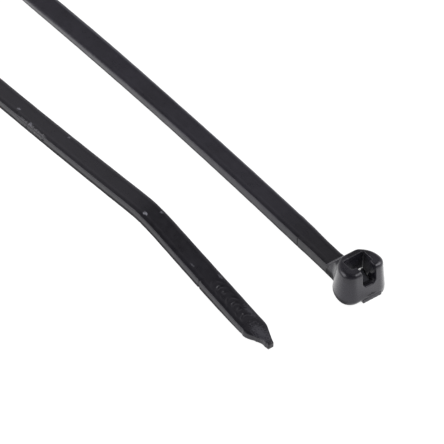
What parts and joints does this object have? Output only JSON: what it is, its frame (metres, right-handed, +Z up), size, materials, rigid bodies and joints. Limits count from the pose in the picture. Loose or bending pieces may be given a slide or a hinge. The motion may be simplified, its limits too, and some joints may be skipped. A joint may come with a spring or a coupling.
{
  "type": "cable tie",
  "caption": "Slim cable tie with a recessed channel, gripped tail and a round notched head with a steel locking barb, folded back on itself",
  "frame": {"origin": "middle of the strap passage through the head, on the level of the head's base", "axes": "+X runs along the folded tie from the fold to the head, +Y points from the tail strand to the head strand's side, +Z is up, the way a threaded tail leaves the head"},
  "size_m": [0.098, 0.0214, 0.0042],
  "materials": {
    "black_nylon": "semi-gloss moulded nylon with light scuffs",
    "spring_steel": "bright rolled steel strip"
  },
  "bodies": {
    "root": {"tie_body": "black_nylon", "locking_barb": "spring_steel"}
  },
  "joints": []
}
